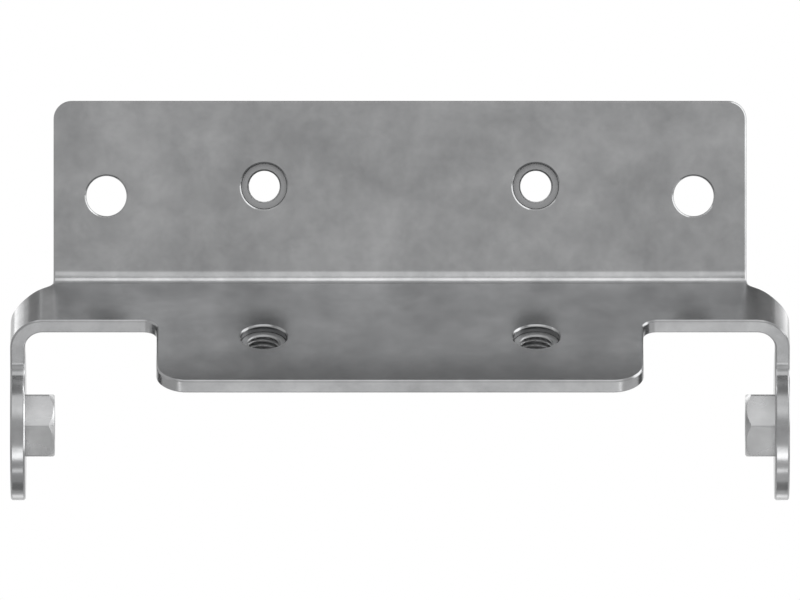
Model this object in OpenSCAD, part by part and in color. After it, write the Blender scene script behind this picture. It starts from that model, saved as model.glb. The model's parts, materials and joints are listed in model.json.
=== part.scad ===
// Ladder support plate: one folded steel sheet with six hexagon weld nuts.
// The back flange stands upright, the shelf slopes forward and down from it, and the
// two wings of the shelf end in ears that fold square to the shelf. All sizes in mm.
// Frame: +X to the right, +Z up, the viewer stands on -Y. The origin lies on the
// front face of the back flange, midway between its two plain bolt holes.

/* [Sheet] */
// Thickness of the sheet
sheet_t = 4; // [3:0.5:5]
// Inside radius of every fold
bend_r = 5; // [4:0.5:6]
// Angle through which the shelf is folded forward from the back flange
fold_angle = 60; // [50:1:70]
// Width of the broken edge round the sheet and its holes
edge_break = 0.6; // [0.3:0.1:0.8]
// Amount by which each face of the sheet draws in where it is folded
fold_draw = 0.02; // [0.01:0.01:0.1]

/* [Back flange] */
// Width of the back flange
back_w = 190; // [180:1:192]
// Height of the top edge above the plain holes
back_rise = 26.1; // [20:0.1:40]
// Distance from the plain holes down to the start of the fold
back_drop = 20.1; // [16:0.1:40]
// Radius of the two top corners
back_corner_r = 5; // [3:0.5:12]
// Diameter of the two plain bolt holes
wall_hole_d = 11; // [9:0.5:14]
// Distance between the two plain bolt holes
wall_hole_pitch = 161; // [120:0.5:166]
// Height of the back nuts above the plain holes
back_nut_up = 2.7; // [-2:0.1:8]

/* [Shelf] */
// Reach of the wings from the end of the fold, along the shelf
wing_reach = 19.4; // [16:0.1:24]
// Width of the tongue
tongue_w = 133; // [110:1:150]
// Reach of the tongue from the end of the fold, along the shelf
tongue_reach = 52.2; // [44:0.1:80]
// Radius of the tongue's front corners
tongue_corner_r = 8.5; // [4:0.5:14]
// Radius in the notch between wing and tongue
notch_r = 4; // [2:0.5:6]
// Distance of the shelf nuts from the end of the fold, along the shelf
shelf_nut_reach = 28.1; // [16:0.1:32]

/* [Ears] */
// Overall width over the outer faces of the two ears
ear_span = 213.4; // [210:0.1:240]
// Angle of the slanted relief that clears the ear's fold from the back flange
relief_angle = 40; // [30:1:50]
// Distance of the ear's rear edge from the end of the shelf's fold
relief_reach = 5.6; // [3:0.1:7]
// Radius where the slanted relief runs into the ear's rear edge
relief_r = 6.5; // [2:0.5:8]
// Radius of the round lug at the end of the ear
lug_r = 20.5; // [17:0.5:24]
// Distance of the lug's centre from the end of the shelf's fold, along the shelf
lug_reach = 14.6; // [11:0.1:18]
// Distance of the lug's centre below the top of the shelf, square to it
lug_drop = 36; // [34:0.5:60]
// Radius of the fillets between neck and lug
neck_fillet_r = 4; // [2:0.5:6]

/* [Weld nuts] */
// Distance between the two nuts of the back flange, and between those of the shelf
nut_pitch = 74.5; // [40:0.5:90]
// Width across the flats of a nut
nut_af = 17; // [16:0.5:19]
// Height of a nut above the sheet
nut_h = 8; // [6:0.5:10]
// Diameter of the circle that the hexagon's corners are turned down to
nut_crown_d = 16.3; // [15:0.1:16.4]
// Diameter of the collar that centres a nut in the sheet
collar_d = 12.3; // [11.5:0.1:13]
// Height of the collar
collar_h = 1.9; // [1:0.1:2.5]
// Clearance all round between collar and sheet
collar_gap = 0.1; // [0.05:0.05:0.3]
// Diameter of the tapped bore, at the crests of its M10 thread
thread_bore_d = 8.5; // [8:0.1:9]
// Width of the countersink at both ends of the bore
thread_lead = 0.4; // [0.2:0.1:0.6]

/* [Hidden] */
$fn = 96;
// How far a cutting shape runs past the surface that it cuts
past = 1;
// How far a fold runs into the flats beside it, inside their faces
fold_lap = 0.3;
shelf_slope = 90 - fold_angle;
fold_outer_r = bend_r + sheet_t;
// Half width of the flat shelf, where the folds of the ears begin
ear_fold_x = ear_span / 2 - fold_outer_r;
nut_hole_r = collar_d / 2 + collar_gap;
plate_colour = [0.62, 0.63, 0.64];
nut_colour = [0.74, 0.75, 0.75];

// Each flat of the sheet has its own frame: X and Y lie in its front face, and Z
// runs from the front face into the thickness.

// Back flange: X to the right, Y down from the plain holes
module back_frame() {
    rotate([-90, 0, 0]) children();
}

// Shelf: X to the right, Y along its slope from the end of the fold
module shelf_frame() {
    fold_end_y = -bend_r * (1 - cos(fold_angle));
    fold_end_z = -back_drop - bend_r * sin(fold_angle);
    translate([0, fold_end_y, fold_end_z]) rotate([-90 - fold_angle, 0, 0]) children();
}

// Right ear, inside the shelf's frame: X along the shelf's slope, Y down the ear,
// and Z from the ear's inner face outwards
module ear_frame() {
    translate([ear_span / 2 - sheet_t, 0, 0]) rotate([90, 0, 90]) children();
}

// Does the same on both sides of the middle
module both_sides() {
    children();
    mirror([1, 0, 0]) children();
}

// Cross-section of the sheet from a0 to a1, with its edges broken where asked and
// its faces drawn in
function sheet_section(a0, a1, break0, break1, draw = 0) =
    let(
        front = draw,
        back = sheet_t - draw
    )
    concat(
        break0 ? [[a0, front + edge_break], [a0 + edge_break, front]] : [[a0, front]],
        break1 ? [[a1 - edge_break, front], [a1, front + edge_break]] : [[a1, front]],
        break1 ? [[a1, back - edge_break], [a1 - edge_break, back]] : [[a1, back]],
        break0 ? [[a0 + edge_break, back], [a0, back - edge_break]] : [[a0, back]]
    );

// The section in a fold: drawn in, and stood off by the fold's radius for turning
function fold_section(a0, a1, break0, break1) =
    [for (p = sheet_section(a0, a1, break0, break1, fold_draw)) [bend_r + p[1], p[0]]];

// Strip of sheet across X, from y0 to y1, with its Y edges broken where asked
module cross_strip(width, y0, y1, break0, break1) {
    translate([-width / 2, 0, 0])
        rotate([90, 0, 90])
        linear_extrude(width)
        polygon(sheet_section(y0, y1, break0, break1));
}

// Strip of sheet along Y, from x0 to x1, with its X edges broken where asked
module long_strip(x0, x1, y0, y1, break0, break1) {
    translate([0, y1, 0])
        rotate([90, 0, 0])
        linear_extrude(y1 - y0)
        polygon(sheet_section(x0, x1, break0, break1));
}

// Round of sheet with a broken edge
module sheet_disc(r) {
    rotate_extrude()
        polygon([
            [0, 0],
            [r - edge_break, 0],
            [r, edge_break],
            [r, sheet_t - edge_break],
            [r - edge_break, sheet_t],
            [0, sheet_t]
        ]);
}

// Cutting shape for a hole or an inside corner, which breaks both edges as it cuts
module round_cut(r) {
    flare_r = r + edge_break + past;
    rotate_extrude()
        polygon([
            [0, -past],
            [flare_r, -past],
            [r, edge_break],
            [r, sheet_t - edge_break],
            [flare_r, sheet_t + past],
            [0, sheet_t + past]
        ]);
}

// Upright flange with two plain bolt holes and two holes for weld nuts
module back_flange() {
    corner_x = back_w / 2 - back_corner_r;
    corner_y = -back_rise + back_corner_r;
    difference() {
        union() {
            cross_strip(2 * corner_x, -back_rise, back_drop, true, false);
            long_strip(-back_w / 2, back_w / 2, corner_y, back_drop, true, true);
            for (side = [-1, 1]) translate([side * corner_x, corner_y, 0]) sheet_disc(back_corner_r);
        }
        for (side = [-1, 1]) {
            translate([side * wall_hole_pitch / 2, 0, 0]) round_cut(wall_hole_d / 2);
            translate([side * nut_pitch / 2, -back_nut_up, 0]) round_cut(nut_hole_r);
        }
    }
}

// Section turned through a fold, and a little further at both ends
module turned(angle) {
    lap_angle = asin(fold_lap / bend_r);
    rotate([0, 0, -lap_angle]) rotate_extrude(angle = angle + 2 * lap_angle) children();
}

// Fold between back flange and shelf
module shelf_fold() {
    half_w = back_w / 2 - fold_draw;
    translate([0, -bend_r, -back_drop])
        rotate([-90, 0, 90])
        turned(fold_angle)
        polygon(fold_section(-half_w, half_w, true, true));
}

// What is cut away behind the right ear's fold: a slant from the corner of the
// back flange, or from the ear's fold where that starts further in, run with a
// round into a line across the ear
module ear_relief() {
    slant_from_x = min(back_w / 2, ear_fold_x);
    slant_run = relief_reach / tan(relief_angle);
    round_x = slant_from_x + slant_run + relief_r * tan(relief_angle / 2);
    outer_x = max(ear_span / 2, round_x) + past;
    steps = 8;
    round_points = [
        for (i = [0:steps])
            let(a = relief_angle * i / steps)
            [round_x - relief_r * sin(a), relief_reach - relief_r * (1 - cos(a))]
    ];
    translate([0, 0, -past])
        linear_extrude(fold_outer_r + 2 * past)
        polygon(concat(
            [[slant_from_x, 0], [slant_from_x, -past], [outer_x, -past], [outer_x, relief_reach]],
            round_points
        ));
}

// Both wings and the folds at their ends
module wings() {
    difference() {
        union() {
            cross_strip(2 * ear_fold_x, 0, wing_reach, false, true);
            both_sides() ear_fold();
        }
        both_sides() ear_relief();
    }
}

// Fold between the right wing and its ear
module ear_fold() {
    translate([ear_fold_x, 0, fold_outer_r])
        rotate([-90, 0, 0])
        turned(90)
        polygon(fold_section(0, wing_reach, false, true));
}

// Wide tongue in front of the wings, with the two rounded notches beside it
module tongue() {
    corner_x = tongue_w / 2 - tongue_corner_r;
    corner_y = tongue_reach - tongue_corner_r;
    cross_strip(2 * corner_x, 0, tongue_reach, false, true);
    long_strip(-tongue_w / 2, tongue_w / 2, 0, corner_y, true, true);
    for (side = [-1, 1]) translate([side * corner_x, corner_y, 0]) sheet_disc(tongue_corner_r);
    both_sides() translate([tongue_w / 2, wing_reach, 0]) inside_corner(notch_r);
}

// Web that rounds an inside corner at the origin, open to +X and +Y
module inside_corner(r) {
    difference() {
        translate([-edge_break, -edge_break, 0]) cube([r + edge_break, r + edge_break, sheet_t]);
        translate([r, r, 0]) round_cut(r);
    }
}

// Sloping shelf: wings and tongue, with two holes for weld nuts
module shelf() {
    difference() {
        union() {
            wings();
            tongue();
        }
        for (side = [-1, 1]) translate([side * nut_pitch / 2, shelf_nut_reach, 0]) round_cut(nut_hole_r);
    }
}

// Web in the corner between one edge of the neck and the lug. The edge lies at
// edge_x, and the open side is towards +X (side 1) or -X (side -1)
module neck_fillet(edge_x, side) {
    fillet_x = edge_x + side * neck_fillet_r;
    across = fillet_x - lug_reach;
    fillet_y = lug_drop - sqrt(pow(lug_r + neck_fillet_r, 2) - pow(across, 2));
    neck_middle = (relief_reach + wing_reach) / 2;
    difference() {
        linear_extrude(sheet_t)
            polygon([[neck_middle, fillet_y], [fillet_x, fillet_y], [lug_reach, lug_drop]]);
        translate([fillet_x, fillet_y, 0]) round_cut(neck_fillet_r);
    }
}

// Right ear: a straight neck that ends in a round lug, with a hole for a weld nut
module ear() {
    difference() {
        union() {
            long_strip(relief_reach, wing_reach, fold_outer_r, lug_drop, false, true);
            translate([lug_reach, lug_drop, 0]) sheet_disc(lug_r);
            neck_fillet(wing_reach, 1);
            neck_fillet(relief_reach, -1);
        }
        translate([lug_reach, lug_drop, 0]) round_cut(nut_hole_r);
    }
}

// The whole folded sheet, galvanised
module support_plate() {
    color(plate_colour) {
        back_frame() back_flange();
        shelf_fold();
        shelf_frame() {
            shelf();
            both_sides() ear_frame() ear();
        }
    }
}

// M10 hexagon weld nut, seated on Z = 0 with its collar below and its free end
// above. Two of its corners lie on X
module weld_nut() {
    hex_r = nut_af / 2 / cos(30);
    crown_r = nut_crown_d / 2;
    bore_r = thread_bore_d / 2;
    color(nut_colour)
        difference() {
            union() {
                intersection() {
                    cylinder(r = hex_r, h = nut_h, $fn = 6);
                    crown(crown_r, hex_r + past);
                }
                translate([0, 0, -collar_h]) cylinder(d = collar_d, h = collar_h);
            }
            translate([0, 0, -collar_h - past]) cylinder(r = bore_r, h = collar_h + nut_h + 2 * past);
            translate([0, 0, nut_h]) lead_cut(bore_r);
            translate([0, 0, -collar_h]) mirror([0, 0, 1]) lead_cut(bore_r);
        }
}

// Turned envelope that takes the corners off the nut's free end at 45 degrees
module crown(end_r, full_r) {
    rotate_extrude()
        polygon([
            [0, 0],
            [full_r, 0],
            [full_r, nut_h - (full_r - end_r)],
            [end_r, nut_h],
            [0, nut_h]
        ]);
}

// Countersink that opens upwards at Z = 0
module lead_cut(bore_r) {
    translate([0, 0, -thread_lead])
        cylinder(r1 = bore_r, r2 = bore_r + thread_lead + past, h = thread_lead + past);
}

// Weld nut behind the back flange, on the left (-1) or the right (1)
module back_nut(side) {
    back_frame() translate([side * nut_pitch / 2, -back_nut_up, sheet_t]) weld_nut();
}

// Weld nut under the shelf, on the left (-1) or the right (1)
module shelf_nut(side) {
    shelf_frame() translate([side * nut_pitch / 2, shelf_nut_reach, sheet_t]) weld_nut();
}

// Weld nut on the inner face of the right ear, turned so that a corner points
// straight forward
module ear_nut() {
    shelf_frame()
        ear_frame()
        translate([lug_reach, lug_drop, 0])
        rotate([0, 0, -shelf_slope])
        rotate([180, 0, 0])
        weld_nut();
}

module back_left_nut() {
    back_nut(-1);
}

module back_right_nut() {
    back_nut(1);
}

module shelf_left_nut() {
    shelf_nut(-1);
}

module shelf_right_nut() {
    shelf_nut(1);
}

module ear_left_nut() {
    mirror([1, 0, 0]) ear_nut();
}

module ear_right_nut() {
    ear_nut();
}

support_plate();
back_left_nut();
back_right_nut();
shelf_left_nut();
shelf_right_nut();
ear_left_nut();
ear_right_nut();
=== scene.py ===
import json
import math

import bmesh
import bpy
from mathutils import Matrix, Vector


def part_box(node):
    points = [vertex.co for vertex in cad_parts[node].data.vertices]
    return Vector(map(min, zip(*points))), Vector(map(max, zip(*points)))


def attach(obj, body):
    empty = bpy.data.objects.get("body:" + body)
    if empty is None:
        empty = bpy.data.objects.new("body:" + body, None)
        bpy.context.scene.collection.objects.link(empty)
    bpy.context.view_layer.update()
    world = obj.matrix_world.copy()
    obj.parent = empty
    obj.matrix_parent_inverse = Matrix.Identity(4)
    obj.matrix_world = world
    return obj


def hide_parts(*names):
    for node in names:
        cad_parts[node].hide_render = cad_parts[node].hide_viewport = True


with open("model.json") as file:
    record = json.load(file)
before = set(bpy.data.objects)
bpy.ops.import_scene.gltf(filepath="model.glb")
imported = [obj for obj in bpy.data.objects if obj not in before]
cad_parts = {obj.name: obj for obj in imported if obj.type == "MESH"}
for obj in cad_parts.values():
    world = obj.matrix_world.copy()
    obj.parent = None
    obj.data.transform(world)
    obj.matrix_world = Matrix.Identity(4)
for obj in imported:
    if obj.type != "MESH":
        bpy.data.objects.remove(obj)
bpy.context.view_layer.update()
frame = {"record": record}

# The sheet: 4 mm hot-dip galvanised steel, punched flat with its holes and with its edges broken.
# Then the shelf is folded forward from the back flange, and the two ears are folded down from it.
# Here too it is drawn as a flat blank, with U across it and V down it, and then folded.
mm = 0.001
sheet_t = 4 * mm
bend_r = 5 * mm
outer_r = bend_r + sheet_t
shelf_turn = math.radians(60)
ear_turn = math.radians(90)
fold_step = math.radians(3.75)
arc_step = math.radians(4)
sheet_crease = math.radians(15)
merge_gap = 0.001 * mm

# A broken edge, in steps: how far in from the outline, and how deep below the face
edge_profile = [(0.46 * mm, 0), (0.1 * mm, 0.3 * mm), (0, 0.5 * mm)]

sheet_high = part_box("support_plate")[1]
mounts = {mount["name"]: mount for mount in frame["record"]["mounts"]}
back_half_w = 95 * mm
back_top = sheet_high.z
back_drop = 20.1 * mm
back_corner_r = 5 * mm
ear_fold_x = sheet_high.x - outer_r
wing_reach = 19.4 * mm
tongue_half_w = 66.5 * mm
tongue_reach = 52.12 * mm
tongue_corner_r = 8.5 * mm
notch_r = 4 * mm
relief_start = -0.8 * mm
relief_reach = 5.5 * mm
relief_angle = 35  # in degrees, as arc() takes it
relief_corner_r = 3.8 * mm
relief_r = 9 * mm
lug_r = 20.49 * mm
lug_reach = 14.6 * mm
lug_drop = 36 * mm
neck_fillet_r = 4 * mm
wall_hole_r = mounts["wall_holes"]["dims"]["hole_r_mm"] * mm
wall_hole_x = mounts["wall_holes"]["dims"]["spacing_x_mm"] / 2 * mm
nut_hole_r = 6.25 * mm
nut_x = mounts["back_right_thread"]["pos_m"][0]
back_nut_up = mounts["back_right_thread"]["pos_m"][2]
shelf_nut_reach = 28.1 * mm

# Lengths of the folds in the blank, along the show face
shelf_fold_len = bend_r * shelf_turn
ear_fold_len = outer_r * ear_turn


def down_flange(drop):
    """Place in the blank of a line across the back flange, from its distance below the wall holes."""
    return drop - back_drop - shelf_fold_len


def down_ear(drop):
    """Place in the blank of a line across the right ear, from its depth below the top of the shelf."""
    return ear_fold_x + ear_fold_len + drop - outer_r


def folded(u, v, n):
    """A point of the blank, at u across, v down the sheet and n in from the show face, once folded."""
    side = 1 if u > 0 else -1
    past_fold = abs(u) - ear_fold_x
    ear_angle = min(max(past_fold / outer_r, 0), ear_turn)
    x = min(abs(u), ear_fold_x) + (outer_r - n) * math.sin(ear_angle)
    depth = outer_r - (outer_r - n) * math.cos(ear_angle) + max(past_fold - ear_fold_len, 0)
    if past_fold > 0:
        # An ear leans with the shelf all over, also where it reaches back past the shelf's fold
        lean, run = shelf_turn, v
    else:
        lean = min(max((v + shelf_fold_len) / bend_r, 0), shelf_turn)
        run = max(v, 0) + min(v + shelf_fold_len, 0)
    y = (bend_r + depth) * math.cos(lean) - bend_r - run * math.sin(lean)
    z = -back_drop - (bend_r + depth) * math.sin(lean) - run * math.cos(lean)
    return Vector((side * x, y, z))


def arc(centre_u, centre_v, radius, start, turn):
    """Points round an arc of the blank, from a start angle in degrees through a signed turn."""
    steps = math.ceil(abs(math.radians(turn)) / arc_step)
    angles = [math.radians(start + turn * i / steps) for i in range(steps + 1)]
    return [(centre_u + radius * math.cos(a), centre_v + radius * math.sin(a)) for a in angles]


def neck_fillet(edge_v, side):
    """Centre of the fillet between an edge of the ear's neck and the lug, and its angle from the lug."""
    centre_v = edge_v + side * neck_fillet_r
    reach = math.sqrt((lug_r + neck_fillet_r) ** 2 - (centre_v - lug_reach) ** 2)
    angle = math.degrees(math.atan2(centre_v - lug_reach, -reach))
    return down_ear(lug_drop) - reach, centre_v, angle


def blank_outline():
    """The outline of the blank, with the material on the left of its line."""
    # The back flange's top corner
    top = down_flange(-back_top)
    half = arc(back_half_w - back_corner_r, top + back_corner_r, back_corner_r, -90, 90)

    # The relief between flange and wing: a round corner, a slant, and a round into the neck
    corner_v = relief_start - relief_corner_r * math.tan(math.radians(90 - relief_angle) / 2)
    slant_len = (relief_reach - relief_start) / math.tan(math.radians(relief_angle))
    round_u = back_half_w + slant_len + relief_r * math.tan(math.radians(relief_angle) / 2)
    half += arc(back_half_w + relief_corner_r, corner_v, relief_corner_r, 180, relief_angle - 90)
    half += arc(round_u, relief_reach - relief_r, relief_r, 90 + relief_angle, -relief_angle)

    # The lug, with a fillet on either side of the neck
    rear_u, rear_v, rear_angle = neck_fillet(relief_reach, -1)
    front_u, front_v, front_angle = neck_fillet(wing_reach, 1)
    half += arc(rear_u, rear_v, neck_fillet_r, 90, rear_angle + 90)
    half += arc(down_ear(lug_drop), lug_reach, lug_r, rear_angle, front_angle - rear_angle)[1:]
    half += arc(front_u, front_v, neck_fillet_r, front_angle - 180, 90 - front_angle)[1:]

    # The notch beside the tongue, and the tongue's corner
    corner_u = tongue_half_w - tongue_corner_r
    half += arc(tongue_half_w + notch_r, wing_reach + notch_r, notch_r, -90, -90)
    half += arc(corner_u, tongue_reach - tongue_corner_r, tongue_corner_r, 0, 90)
    return half + [(-u, v) for u, v in reversed(half)]


def blank_holes():
    """The outlines of the eight holes, with the material on the left of their lines."""
    holes = []
    for side in (-1, 1):
        holes.append((side * wall_hole_x, down_flange(0), wall_hole_r))
        holes.append((side * nut_x, down_flange(-back_nut_up), nut_hole_r))
        holes.append((side * nut_x, shelf_nut_reach, nut_hole_r))
        holes.append((side * down_ear(lug_drop), lug_reach, nut_hole_r))
    return [arc(u, v, r, 0, -360)[:-1] for u, v, r in holes]


def inward_steps(points):
    """For each point of a closed line, the step that moves both its edges into the material by one."""
    steps = []
    for i, point in enumerate(points):
        before = (Vector(point) - Vector(points[i - 1])).normalized()
        after = (Vector(points[(i + 1) % len(points)]) - Vector(point)).normalized()
        left_before = Vector((-before.y, before.x))
        left_after = Vector((-after.y, after.x))
        steps.append((left_before + left_after) / (1 + left_before.dot(left_after)))
    return steps


def add_wall(bm, points):
    """The wall of the blank round one closed line, and the edges of its first and last ring."""
    profile = edge_profile + [(inset, sheet_t - depth) for inset, depth in reversed(edge_profile)]
    steps = inward_steps(points)
    rings = []
    for inset, depth in profile:
        line = [Vector(point) + step * inset for point, step in zip(points, steps)]
        rings.append([bm.verts.new((place.x, place.y, depth)) for place in line])
    for ring, after in zip(rings, rings[1:]):
        for i in range(len(ring)):
            bm.faces.new((ring[i - 1], ring[i], after[i], after[i - 1]))
    return [
        [bm.edges.get((ring[i - 1], ring[i])) for i in range(len(ring))]
        for ring in (rings[0], rings[-1])
    ]


def cut_lines():
    """Where the blank is cut into strips for its folds: a point and a normal for each line."""
    steps = round(shelf_turn / fold_step)
    lines = [((0, -shelf_fold_len * i / steps, 0), (0, 1, 0)) for i in range(steps + 1)]
    steps = round(ear_turn / fold_step)
    for side in (-1, 1):
        for i in range(steps + 1):
            lines.append(((side * (ear_fold_x + ear_fold_len * i / steps), 0, 0), (1, 0, 0)))
    return lines


def folded_sheet():
    """The blank as a closed mesh, cut into strips at its folds, and folded."""
    bm = bmesh.new()
    walls = [add_wall(bm, points) for points in [blank_outline()] + blank_holes()]
    for rims in zip(*walls):
        edges = [edge for rim in rims for edge in rim]
        bmesh.ops.triangle_fill(bm, edges=edges, use_beauty=True, normal=(0, 0, 1))
    bmesh.ops.recalc_face_normals(bm, faces=bm.faces)
    for point, normal in cut_lines():
        everything = bm.verts[:] + bm.edges[:] + bm.faces[:]
        bmesh.ops.bisect_plane(bm, geom=everything, dist=merge_gap, plane_co=point, plane_no=normal)
    bmesh.ops.remove_doubles(bm, verts=bm.verts, dist=merge_gap)
    for vert in bm.verts:
        vert.co = folded(*vert.co)
    for face in bm.faces:
        face.smooth = True
    for edge in bm.edges:
        edge.smooth = edge.calc_face_angle(0) < sheet_crease
    mesh = bpy.data.meshes.new("support_plate_sheet")
    bm.to_mesh(mesh)
    bm.free()
    return mesh


def feed(tree, value, socket):
    """Links a socket to an input, or sets the input to a plain value."""
    if isinstance(value, bpy.types.NodeSocket):
        tree.links.new(value, socket)
    else:
        socket.default_value = value


def add_node(tree, kind, inputs=None, **settings):
    """A node of a tree, with its settings, and its inputs each set to a value or linked from a socket."""
    node = tree.nodes.new(kind)
    for name, value in settings.items():
        setattr(node, name, value)
    for key, value in (inputs or {}).items():
        feed(tree, value, node.inputs[key])
    return node


def mixed(tree, kind, factor, a, b):
    """The mix of two values of a kind, by a factor."""
    inputs = {"Factor": factor, "A": a, "B": b}
    return add_node(tree, "ShaderNodeMix", inputs, data_type=kind).outputs["Result"]


def zinc_coat():
    """Shader group: the soft clouds of a zinc coat with finer wisps in them, and its grain."""
    tree = bpy.data.node_groups.new("zinc_coat", "ShaderNodeTree")
    for name, value in (("Cloud Scale", 34.0), ("Grain Scale", 900.0)):
        socket = tree.interface.new_socket(name, in_out="INPUT", socket_type="NodeSocketFloat")
        socket.default_value = value
    for name in ("Cloud", "Wisp", "Grain"):
        tree.interface.new_socket(name, in_out="OUTPUT", socket_type="NodeSocketFloat")
    given = add_node(tree, "NodeGroupInput").outputs
    coordinates = add_node(tree, "ShaderNodeTexCoord").outputs["Object"]

    def noise(scale, **inputs):
        """A noise over the piece's own coordinates."""
        all_inputs = {"Vector": coordinates, "Scale": scale, **inputs}
        return add_node(tree, "ShaderNodeTexNoise", all_inputs).outputs["Fac"]

    finer = add_node(tree, "ShaderNodeMath", {0: given["Cloud Scale"], 1: 3.0}, operation="MULTIPLY")
    add_node(tree, "NodeGroupOutput", {
        "Cloud": noise(given["Cloud Scale"], Detail=3.0, Roughness=0.5),
        "Wisp": noise(finer.outputs[0], Detail=6.0, Roughness=0.68, Distortion=0.15),
        "Grain": noise(given["Grain Scale"], Detail=2.0),
    })
    return tree


zinc_coat_group = zinc_coat()
grain_depth = 0.002 * mm


def metal(name, dark, light, smooth, rough, cloud_scale):
    """A zinc-coated steel whose colour and gloss drift between two values, over a fine grain."""
    material = bpy.data.materials.new(name)
    material.use_nodes = True
    tree = material.node_tree
    shader = tree.nodes["Principled BSDF"]
    coat = add_node(tree, "ShaderNodeGroup", node_tree=zinc_coat_group)
    coat.inputs["Cloud Scale"].default_value = cloud_scale
    patches = add_node(tree, "ShaderNodeMath", {
        0: coat.outputs["Cloud"],
        1: coat.outputs["Wisp"],
    }, operation="ADD")
    spread = add_node(tree, "ShaderNodeMapRange", {
        "Value": patches.outputs[0],
        "From Min": 0.6,
        "From Max": 1.4,
    })
    gloss = add_node(tree, "ShaderNodeMapRange", {
        "Value": coat.outputs["Cloud"],
        "From Min": 0.2,
        "From Max": 0.8,
        "To Min": rough,
        "To Max": smooth,
    })
    bump = add_node(tree, "ShaderNodeBump", {
        "Height": coat.outputs["Grain"],
        "Distance": grain_depth,
        "Strength": 1.0,
    })
    colour = mixed(tree, "RGBA", spread.outputs["Result"], (*dark, 1), (*light, 1))
    feed(tree, colour, shader.inputs["Base Color"])
    feed(tree, gloss.outputs["Result"], shader.inputs["Roughness"])
    feed(tree, bump.outputs["Normal"], shader.inputs["Normal"])
    shader.inputs["Metallic"].default_value = 1
    return material


sheet_metal = metal(
    "galvanised_steel",
    dark=(0.195, 0.197, 0.2),
    light=(0.345, 0.347, 0.35),
    smooth=0.18,
    rough=0.25,
    cloud_scale=36,
)
sheet = bpy.data.objects.new("folded_sheet", folded_sheet())
bpy.context.scene.collection.objects.link(sheet)
sheet.data.materials.append(sheet_metal)
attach(sheet, "root")
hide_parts("support_plate")

# The six weld nuts: M10 hexagon nuts of bright zinc-plated steel, cold-formed and tapped.
# Each is centred by its collar in a hole of the sheet and welded to the side away from the bolt.
# One nut is made by a tree, standing on Z = 0 with its collar below, and is copied to each place.
nut_height = 8 * mm
collar_height = 1.9 * mm
nut_crease = math.radians(25)
seam_gap = 0.002 * mm

# Radius over the rounded corners of the hexagon, as a share of the width across the flats
corner_share = 0.5676

# A nut's mesh: the columns round it, and the rows along the thread and over the outside
nut_around = 144
thread_rows = 120
shell_rows = 7

# How far past the thread's root the faces marked for painted shade reach, and how far below the seat they
# start
bore_margin = 0.05 * mm
collar_margin = 0.1 * mm


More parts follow.
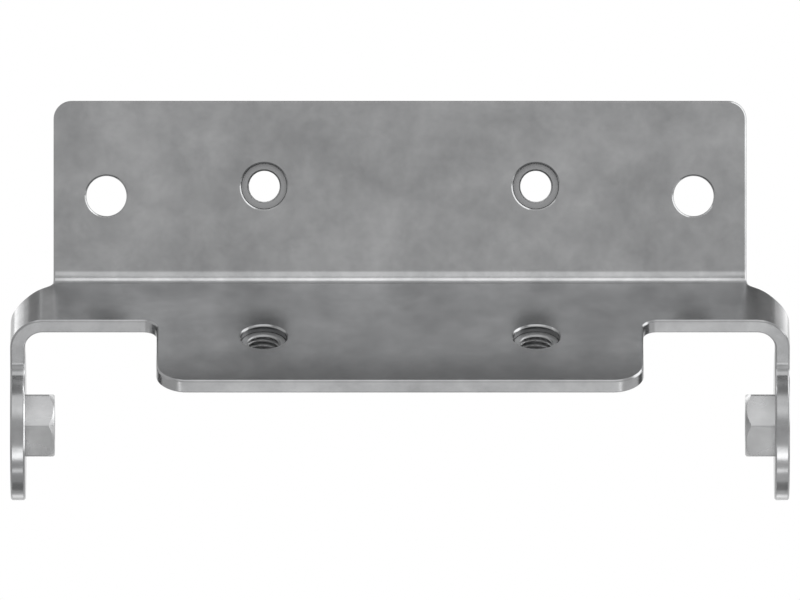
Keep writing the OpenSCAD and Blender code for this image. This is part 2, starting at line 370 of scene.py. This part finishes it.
def nut_tree():
    """Geometry nodes for a hexagon weld nut with a true thread."""
    tree = bpy.data.node_groups.new("weld_nut", "GeometryNodeTree")
    tree.interface.new_socket("Geometry", in_out="OUTPUT", socket_type="NodeSocketGeometry")
    sizes = {
        "Across Flats": 17 * mm,
        "Height": nut_height,
        "Crown Diameter": 16.3 * mm,
        "Collar Diameter": 12.3 * mm,
        "Collar Height": collar_height,
        "Crest Diameter": 8.5 * mm,
        "Root Diameter": 10 * mm,
        "Pitch": 1.5 * mm,
        "Lead": 0.4 * mm,
    }
    for name, value in sizes.items():
        socket = tree.interface.new_socket(name, in_out="INPUT", socket_type="NodeSocketFloat")
        socket.default_value = value
    tree.interface.new_socket("Material", in_out="INPUT", socket_type="NodeSocketMaterial")
    given = add_node(tree, "NodeGroupInput").outputs

    def math_node(operation, a, b=0.0, c=0.0):
        return add_node(tree, "ShaderNodeMath", {0: a, 1: b, 2: c}, operation=operation).outputs[0]

    def swept_grid(rows, point_at):
        """A grid wrapped round Z, where a row and an angle give each point's radius and height."""
        grid = add_node(tree, "GeometryNodeMeshGrid", {"Vertices X": nut_around + 1, "Vertices Y": rows})
        index = add_node(tree, "GeometryNodeInputIndex").outputs[0]
        # The half keeps the quotient clear of the whole numbers
        column = math_node("FLOOR", math_node("DIVIDE", math_node("ADD", index, 0.5), rows))
        row = math_node("SUBTRACT", index, math_node("MULTIPLY", column, rows))
        angle = math_node("MULTIPLY", column, math.tau / nut_around)
        radius, height = point_at(row, angle)
        point = add_node(tree, "ShaderNodeCombineXYZ", {
            "X": math_node("MULTIPLY", radius, math_node("COSINE", angle)),
            "Y": math_node("MULTIPLY", radius, math_node("SINE", angle)),
            "Z": height,
        })
        return add_node(tree, "GeometryNodeSetPosition", {
            "Geometry": grid.outputs["Mesh"],
            "Position": point.outputs[0],
        }).outputs["Geometry"]

    def choose(row, values):
        """The value that a list holds for the row."""
        switch = add_node(tree, "GeometryNodeIndexSwitch", {"Index": row}, data_type="FLOAT")
        while len(switch.index_switch_items) < len(values):
            switch.index_switch_items.new()
        for i, value in enumerate(values):
            feed(tree, value, switch.inputs[i + 1])
        return switch.outputs[0]

    end_z = math_node("MULTIPLY", given["Collar Height"], -1)
    length = math_node("ADD", given["Height"], given["Collar Height"])
    flat_r = math_node("DIVIDE", given["Across Flats"], 2)
    crest_r = math_node("DIVIDE", given["Crest Diameter"], 2)
    root_r = math_node("DIVIDE", given["Root Diameter"], 2)
    crown_r = math_node("DIVIDE", given["Crown Diameter"], 2)
    collar_r = math_node("DIVIDE", given["Collar Diameter"], 2)
    lead_r = math_node("ADD", crest_r, given["Lead"])

    def bore_point(row, angle):
        """The thread, whose depth fades where it runs out, with a countersunk lead at each end."""
        along = math_node("MULTIPLY", row, math_node("DIVIDE", length, thread_rows - 1))
        to_end = math_node("MINIMUM", along, math_node("SUBTRACT", length, along))
        pitches = math_node("DIVIDE", along, given["Pitch"])
        turns = math_node("SUBTRACT", pitches, math_node("DIVIDE", angle, math.tau))
        wave = math_node("ABSOLUTE", math_node("MULTIPLY_ADD", math_node("FRACT", turns), 2, -1))
        flank = add_node(tree, "ShaderNodeMapRange", {"Value": wave, "From Min": 0.25, "From Max": 0.85})
        fade = add_node(tree, "ShaderNodeMapRange", {"Value": to_end, "From Max": given["Lead"]})
        depth = math_node("MULTIPLY", math_node("SUBTRACT", root_r, crest_r), flank.outputs["Result"])
        cut = math_node("MULTIPLY_ADD", depth, fade.outputs["Result"], crest_r)
        radius = math_node("MAXIMUM", cut, math_node("SUBTRACT", lead_r, to_end))
        return radius, math_node("ADD", end_z, along)

    def shell_point(row, angle):
        """The outside, from the bore over the crown and down the flats to the end of the collar."""
        from_flat = math_node("SUBTRACT", math_node("MODULO", angle, math.tau / 6), math.tau / 12)
        straight = math_node("DIVIDE", flat_r, math_node("COSINE", from_flat))
        corner_r = math_node("MULTIPLY", given["Across Flats"], corner_share)
        hexagon = math_node("MINIMUM", straight, corner_r)
        shoulder = math_node("SUBTRACT", given["Height"], math_node("SUBTRACT", hexagon, crown_r))
        radii = [lead_r, crown_r, hexagon, hexagon, collar_r, collar_r, lead_r]
        heights = [given["Height"], given["Height"], shoulder, 0, 0, end_z, end_z]
        return choose(row, radii), choose(row, heights)

    joined = add_node(tree, "GeometryNodeJoinGeometry")
    tree.links.new(swept_grid(thread_rows, bore_point), joined.inputs[0])
    tree.links.new(swept_grid(shell_rows, shell_point), joined.inputs[0])
    closed = add_node(tree, "GeometryNodeMergeByDistance", {
        "Geometry": joined.outputs[0],
        "Distance": seam_gap,
    })
    bend = add_node(tree, "GeometryNodeInputMeshEdgeAngle").outputs["Unsigned Angle"]
    rounded = add_node(tree, "GeometryNodeSetShadeSmooth", {
        "Geometry": closed.outputs["Geometry"],
        "Shade Smooth": math_node("LESS_THAN", bend, nut_crease),
    }, domain="EDGE")

    # Marks the faces of the bore and of the collar, for painted shade and a duller gloss
    position = add_node(tree, "GeometryNodeInputPosition").outputs[0]
    x, y, z = add_node(tree, "ShaderNodeSeparateXYZ", {0: position}).outputs
    y_squared = math_node("MULTIPLY", y, y)
    from_axis = math_node("SQRT", math_node("MULTIPLY_ADD", x, x, y_squared))
    in_bore = math_node("LESS_THAN", from_axis, math_node("ADD", root_r, bore_margin))
    on_collar = math_node("LESS_THAN", z, -collar_margin)
    marked = add_node(tree, "GeometryNodeStoreNamedAttribute", {
        "Geometry": rounded.outputs[0],
        "Name": "painted_shade_and_dull",
        "Value": math_node("MAXIMUM", in_bore, on_collar),
    }, data_type="FLOAT", domain="FACE")
    real = add_node(tree, "GeometryNodeRealizeInstances", {"Geometry": marked.outputs[0]})
    finished = add_node(tree, "GeometryNodeSetMaterial", {
        "Geometry": real.outputs[0],
        "Material": given["Material"],
    })
    add_node(tree, "NodeGroupOutput", {"Geometry": finished.outputs[0]})
    return tree


def made_nut(tree, material):
    """One nut as a plain mesh, from the tree."""
    maker = bpy.data.objects.new("nut_maker", bpy.data.meshes.new("nut_maker"))
    bpy.context.scene.collection.objects.link(maker)
    modifier = maker.modifiers.new("nut", "NODES")
    modifier.node_group = tree
    socket = next(item for item in tree.interface.items_tree if item.name == "Material")
    modifier[socket.identifier] = material
    evaluated = maker.evaluated_get(bpy.context.evaluated_depsgraph_get())
    mesh = bpy.data.meshes.new_from_object(evaluated)
    maker.modifiers.remove(modifier)
    bpy.data.objects.remove(maker)
    bm = bmesh.new()
    bm.from_mesh(mesh)
    bmesh.ops.recalc_face_normals(bm, faces=bm.faces)
    bm.to_mesh(mesh)
    bm.free()
    return mesh


def shade_and_dull_marked_faces(material, looks):
    """Mixes another look into a metal on its marked faces, from each input's kind and value."""
    tree = material.node_tree
    shader = tree.nodes["Principled BSDF"]
    mark = add_node(tree, "ShaderNodeAttribute", attribute_name="painted_shade_and_dull").outputs["Fac"]
    for name, (kind, value) in looks.items():
        bright = shader.inputs[name].links[0].from_socket
        feed(tree, mixed(tree, kind, mark, bright, value), shader.inputs[name])


nut_metal = metal(
    "zinc_plated_steel",
    dark=(0.32, 0.322, 0.325),
    light=(0.42, 0.422, 0.425),
    smooth=0.24,
    rough=0.3,
    cloud_scale=60,
)

# Painted shade: the collars and the threads are darker, for the shade in their recesses, and both are
# duller than the outside
shade_and_dull_marked_faces(nut_metal, {
    "Base Color": ("RGBA", (0.265, 0.267, 0.27, 1)),
    "Roughness": ("FLOAT", 0.45),
})

# A mount stands at the middle of its bore, and the nut's seat lies ahead of it, towards the bolt.
# On the ears a corner of the hexagon points to the front, and elsewhere to the side.
seat_from_mount = (nut_height - collar_height) / 2
nut_mesh = made_nut(nut_tree(), nut_metal)
for place in ("back_left", "back_right", "shelf_left", "shelf_right", "ear_left", "ear_right"):
    mount = mounts[place + "_thread"]
    outward = Vector(mount["axis"])
    corner = Vector((0, -1, 0)) if place.startswith("ear") else Vector((1, 0, 0))
    turned = Matrix((corner, (-outward).cross(corner), -outward)).transposed()
    seat = Vector(mount["pos_m"]) + outward * seat_from_mount
    mesh = nut_mesh.copy()
    mesh.transform(Matrix.Translation(seat) @ turned.to_4x4())
    nut = bpy.data.objects.new(place + "_weld_nut", mesh)
    bpy.context.scene.collection.objects.link(nut)
    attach(nut, "root")
    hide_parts(place + "_nut")

# The floor: a pale matt sheet below the part, lower than the picture shows.
# It is small enough that the camera sees none of it, but only the background.
floor_z = -0.14
floor_w = 2.4


def matt_panel(name, size, grey, roughness, specular):
    """A flat matt rectangle, with its first side along X."""
    half_x, half_y = size[0] / 2, size[1] / 2
    corners = [(-half_x, -half_y, 0), (half_x, -half_y, 0), (half_x, half_y, 0), (-half_x, half_y, 0)]
    mesh = bpy.data.meshes.new(name)
    mesh.from_pydata(corners, [], [(0, 1, 2, 3)])
    paint = bpy.data.materials.new(name)
    paint.use_nodes = True
    shader = paint.node_tree.nodes["Principled BSDF"]
    shader.inputs["Base Color"].default_value = (grey, grey, grey, 1)
    shader.inputs["Roughness"].default_value = roughness
    shader.inputs["Specular IOR Level"].default_value = specular
    mesh.materials.append(paint)
    panel = bpy.data.objects.new(name, mesh)
    bpy.context.scene.collection.objects.link(panel)
    return panel


floor = matt_panel("floor", (floor_w, floor_w), grey=0.85, roughness=0.8, specular=0.5)
floor.location.z = floor_z

# The large lamps: one from the front, a bar over the fold, one on the right, two behind,
# and one that shines up at the front edges from below. The camera sees none of the lamps.
middle = (0, 0, 0)
fold_middle = (0, -0.002, -0.022)
below_front = (0, -0.084, -0.032)
downward = Vector((0, 0, -1))
right_up = Vector((0.82, 0, 0.57))
rear_left = Vector((-0.46, 0.83, 0.31)).normalized()
rear_right = Vector((0.44, 0.87, 0.22)).normalized()


def toward(elevation):
    """The direction at an elevation, where 0 is towards the camera, 90 up and 180 straight back."""
    angle = math.radians(elevation)
    return Vector((0, -math.cos(angle), math.sin(angle)))


def stand_off(thing, target, direction, distance):
    """Places a lamp or a card off its target and facing it, with its Y side across the part."""
    thing.location = Vector(target) + direction * distance
    thing.rotation_euler = (-direction).to_track_quat("-Z", "X").to_euler()


def soft_lamp(name, target, direction, distance, size, radiance):
    """A soft lamp that looks as bright as its radiance, with its first side across the part."""
    lamp = bpy.data.lights.new(name, "AREA")
    lamp.shape = "RECTANGLE"
    lamp.size_y, lamp.size = size
    lamp.energy = radiance * math.pi * lamp.size * lamp.size_y
    holder = bpy.data.objects.new(name, lamp)
    bpy.context.scene.collection.objects.link(holder)
    stand_off(holder, target, direction, distance)


soft_lamp("key", middle, toward(30), distance=1.0, size=(1.0, 0.6), radiance=0.75)
soft_lamp("light_bar", fold_middle, toward(67), distance=0.13, size=(0.202, 0.045), radiance=1.95)
soft_lamp("right_side", middle, right_up, distance=0.6, size=(0.4, 0.9), radiance=2.4)
soft_lamp("rear_left", middle, rear_left, distance=0.7, size=(0.3, 0.25), radiance=1.8)
soft_lamp("rear_right", middle, rear_right, distance=0.7, size=(0.3, 0.25), radiance=0.9)
soft_lamp("low_front", below_front, downward, distance=0.1, size=(0.224, 0.044), radiance=0.58)

# The small lamps: some stand round the rim of each ear, each where one stretch of the rim reflects it.
# Others light the fillets over the lugs, the nuts on the ears, and the edges on the left.
lug_centre = Vector(mounts["ear_right_thread"]["pos_m"])
rightward = Vector((1, 0, 0))

# Where the lamps round a rim stand across the part, and how far off the rim
rim_x = 0.106
rim_gap = 0.017

# Elevation and spread of each lamp at a rim, in degrees, and its radiance
rim_lamps = [(20, 30, 0.35), (-48, 17, 2.9), (-74, 10, 1.7), (-142, 16, 1.1)]


def rim_point(side, elevation):
    """The point on an ear's rim where the camera sees what lies in the direction of an elevation."""
    return Vector((side * rim_x, lug_centre.y, lug_centre.z)) + lug_r * toward(elevation / 2)


for side in (-1, 1):
    for elevation, spread, radiance in rim_lamps:
        size = (0.009, rim_gap * math.radians(spread))
        soft_lamp("rim_lamp", rim_point(side, elevation), toward(elevation), rim_gap, size, radiance)
    fillet = (side * 0.1047, -0.0125, -0.0459)
    soft_lamp("fillet_lamp", fillet, toward(-46), distance=0.119, size=(0.014, 0.016), radiance=2.5)
    ear_nut = (side * 0.098, -0.0044, -0.0586)
    soft_lamp("nut_lamp", ear_nut, toward(60), distance=0.016, size=(0.01, 0.014), radiance=1.1)
left_rim = (-0.103, -0.013, -0.064)
soft_lamp("left_edge_lamp", left_rim, rightward, distance=0.025, size=(0.008, 0.026), radiance=3.5)
left_crown = (-0.093, 0, -0.0475)
soft_lamp("left_crown_lamp", left_crown, rightward, distance=0.03, size=(0.012, 0.019), radiance=1.3)

# The grey cards: three above and behind the shelf, which darken it and the folds of the ears,
# and two at each ear, one above it and one below its rim. The camera doesn't see them.
above_back = toward(122)
low_elevation = -109  # in degrees, of the cards below the rims


def grey_card(name, target, direction, distance, size, grey):
    """A matt card for the metal to reflect, with its first side across the part."""
    card = matt_panel(name, (size[1], size[0]), grey, roughness=1, specular=0)
    card.visible_camera = False
    card.visible_shadow = False
    stand_off(card, target, direction, distance)


grey_card("dark_above", (0.001, 0, 0), above_back, distance=0.5, size=(0.206, 0.36), grey=0.2)
grey_card("dark_above_right", (0.2525, 0, 0), above_back, distance=0.5, size=(0.297, 0.36), grey=0.32)
grey_card("dark_above_left", (-0.255, 0, 0), above_back, distance=0.5, size=(0.18, 0.34), grey=0.5)
for side in (-1, 1):
    neck = (side * 0.119, -0.014, -0.052)
    grey_card("flag", neck, toward(64), distance=0.17, size=(0.04, 0.1), grey=0.3)
    rim = rim_point(side, low_elevation)
    grey_card("low_flag", rim, toward(low_elevation), rim_gap, size=(0.01, 0.009), grey=0.42)

# The background: white to the camera and in the metal's reflections.
# It lights matt surfaces a little less.
world = bpy.data.worlds.new("studio")
bpy.context.scene.world = world
world.use_nodes = True
background = world.node_tree.nodes["Background"]
background.inputs["Color"].default_value = (1, 1, 1, 1)
ray = add_node(world.node_tree, "ShaderNodeLightPath").outputs
seen = ray["Is Camera Ray"]
for kind in ("Is Glossy Ray", "Is Transmission Ray"):
    either = add_node(world.node_tree, "ShaderNodeMath", {0: seen, 1: ray[kind]}, operation="MAXIMUM")
    seen = either.outputs[0]
level = add_node(world.node_tree, "ShaderNodeMapRange", {"Value": seen, "To Min": 0.8, "To Max": 1.0})
feed(world.node_tree, level.outputs["Result"], background.inputs["Strength"])

# The camera: it looks square at the back flange from 7.6 m away, with a very long lens,
# because the photograph shows no perspective. At the flange a millimetre is 3.647 pixels.
photo_w = 800
photo_scale = 3.647 / mm
photo_centre = Vector((0, 0, -28.5 * mm))
camera_data = bpy.data.cameras.new("camera")
camera_data.sensor_width = 36
camera_data.lens = 1250
distance = photo_w / photo_scale * camera_data.lens / camera_data.sensor_width
camera_data.clip_start = 1
camera_data.clip_end = 2 * distance
camera = bpy.data.objects.new("camera", camera_data)
camera.location = photo_centre + Vector((0, -distance, 0))
camera.rotation_euler = (math.radians(90), 0, 0)
bpy.context.scene.collection.objects.link(camera)
bpy.context.scene.camera = camera
bpy.context.scene.view_settings.view_transform = "Standard"

bpy.context.view_layer.update()
